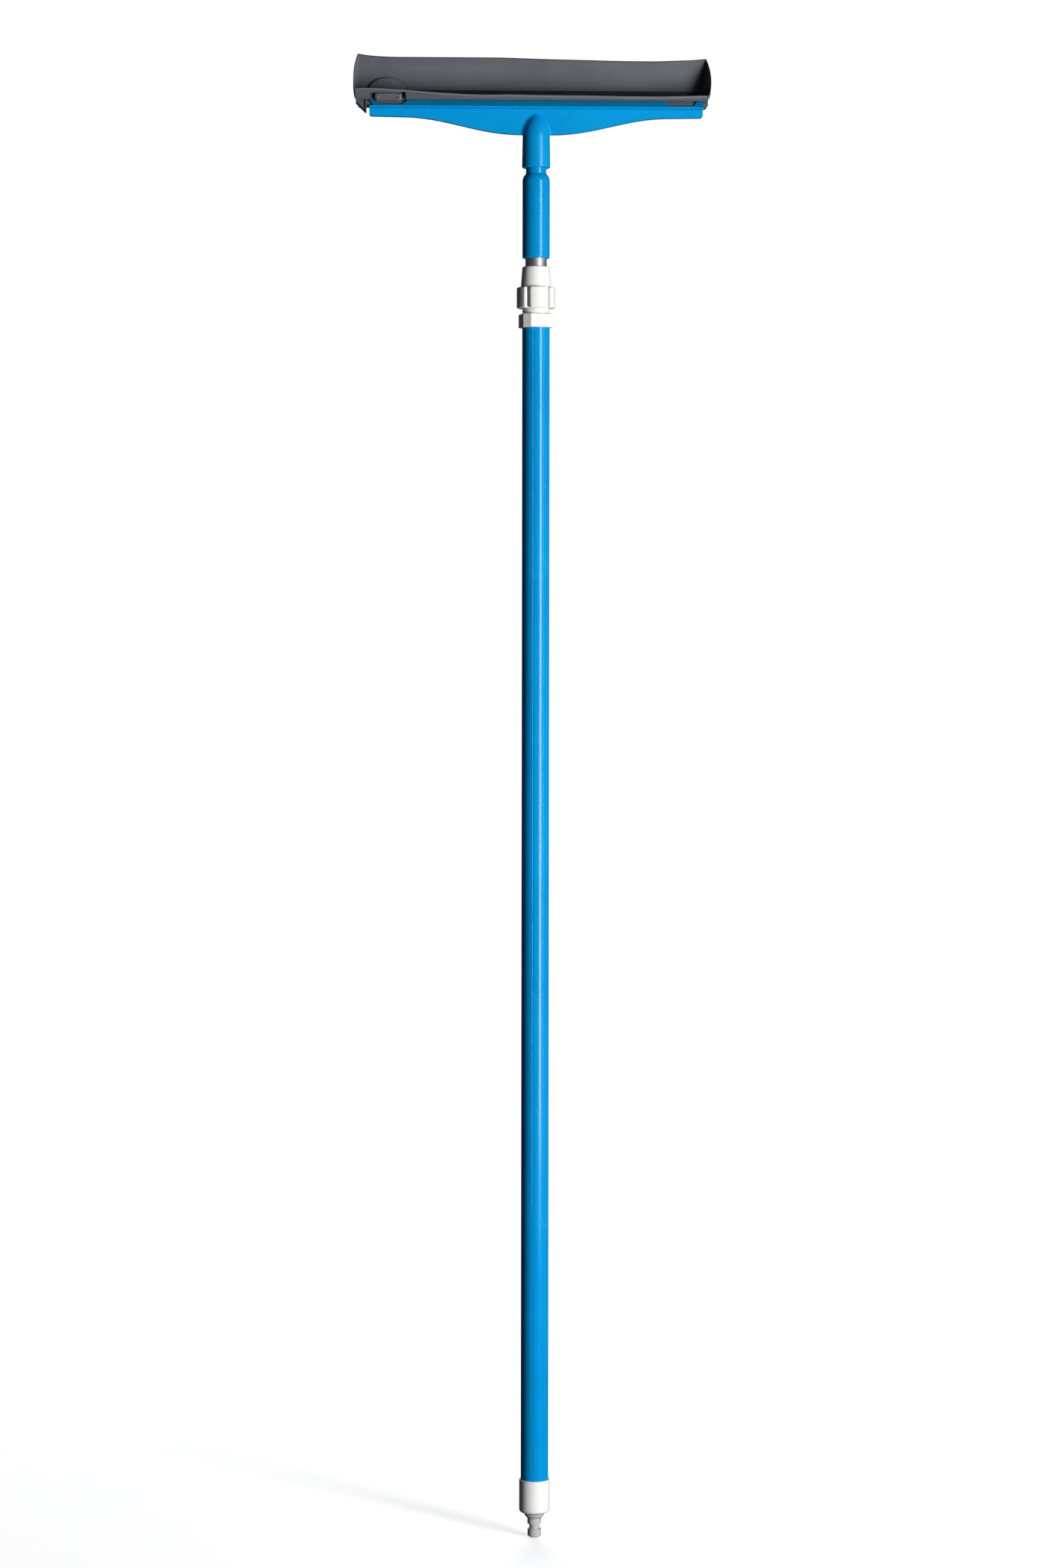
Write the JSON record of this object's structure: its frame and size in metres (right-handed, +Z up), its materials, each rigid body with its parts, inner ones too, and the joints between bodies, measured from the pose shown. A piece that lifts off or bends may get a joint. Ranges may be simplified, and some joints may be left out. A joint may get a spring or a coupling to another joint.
{
  "type": "window cleaning pole system",
  "caption": "Telescopic cleaning pole with a clamp nut, a hose nipple at its foot and a screw-on T-shaped squeegee head that carries a rubber trough.",
  "frame": {"origin": "on the pole's axis, at the middle of the end cap's straight wall", "axes": "+Z up the pole towards the head, -Y to the front where the trough's low lip is, +X to the right seen from the front"},
  "size_m": [0.416, 0.0494, 1.7261],
  "materials": {
    "nipple": "silver-grey nipple",
    "seal": "matt black rubber",
    "cap": "semi-gloss white",
    "plug": "satin",
    "tube": "drawn satin",
    "sleeve": "glossy blue",
    "clamp": "semi-gloss white",
    "nut": "semi-gloss white",
    "bush": "satin natural",
    "tip": "glossy blue",
    "frame": "semi-matt blue",
    "rail": "matt grey",
    "trough": "soft matt grey rubber",
    "pad": "glossy grey"
  },
  "bodies": {
    "outer_pole": {"hose_nipple": "nipple", "nipple_washer": "seal", "end_cap": "cap", "end_plug": "plug", "end_plug_ring": "seal", "outer_tube": "tube", "outer_sleeve": "sleeve", "clamp_body": "clamp", "guide_bush": "bush", "clamp_seal": "seal"},
    "lock_carrier": {"lock_collet": "bush"},
    "lock_nut": {"lock_nut": "nut", "wiper_ring": "seal"},
    "inner_pole": {"slide_guide": "plug", "slide_ring_lower": "seal", "slide_ring_upper": "seal", "inner_tube": "tube", "handle_tip": "tip", "tip_ring": "seal"},
    "head_carrier": {"socket_gasket": "seal"},
    "head": {"squeegee_frame": "frame"},
    "cassette": {"cassette_rail": "rail", "drain_gasket": "seal", "collector_trough": "trough"},
    "front_latch": {"latch_pad_front": "pad"},
    "back_latch": {"latch_pad_back": "pad"}
  },
  "joints": [
    {"name": "telescope", "type": "slide", "parent": "outer_pole", "child": "inner_pole", "axis": [0, 0, 1], "range_m": [0, 1.18]},
    {"name": "nut_turn", "type": "hinge", "parent": "lock_carrier", "child": "lock_nut", "pos_m": [0, 0, 1.3599], "axis": [0, 0, 1], "range_deg": [0, 270]},
    {"name": "nut_rise", "type": "slide", "parent": "outer_pole", "child": "lock_carrier", "axis": [0, 0, 1], "range_m": [0, 0.00225]},
    {"name": "head_turn", "type": "hinge", "parent": "head_carrier", "child": "head", "pos_m": [0, 0, 1.5463], "axis": [0, 0, 1], "range_deg": [0, 1440]},
    {"name": "head_rise", "type": "slide", "parent": "inner_pole", "child": "head_carrier", "axis": [0, 0, 1], "range_m": [0, 0.024]},
    {"name": "cassette_slide", "type": "slide", "parent": "head", "child": "cassette", "axis": [-1, 0, 0], "range_m": [0, 0.4]},
    {"name": "front_latch_press", "type": "slide", "parent": "cassette", "child": "front_latch", "axis": [0, 1, 0], "range_m": [0, 0.0015], "stiffness_N_per_m": 600},
    {"name": "back_latch_press", "type": "slide", "parent": "cassette", "child": "back_latch", "axis": [0, -1, 0], "range_m": [0, 0.0015], "stiffness_N_per_m": 600}
  ],
  "couplings": [
    {"joint": "nut_rise", "follows": "nut_turn", "m_per_rad": 0.00047746},
    {"joint": "head_rise", "follows": "head_turn", "m_per_rad": 0.00095493}
  ]
}
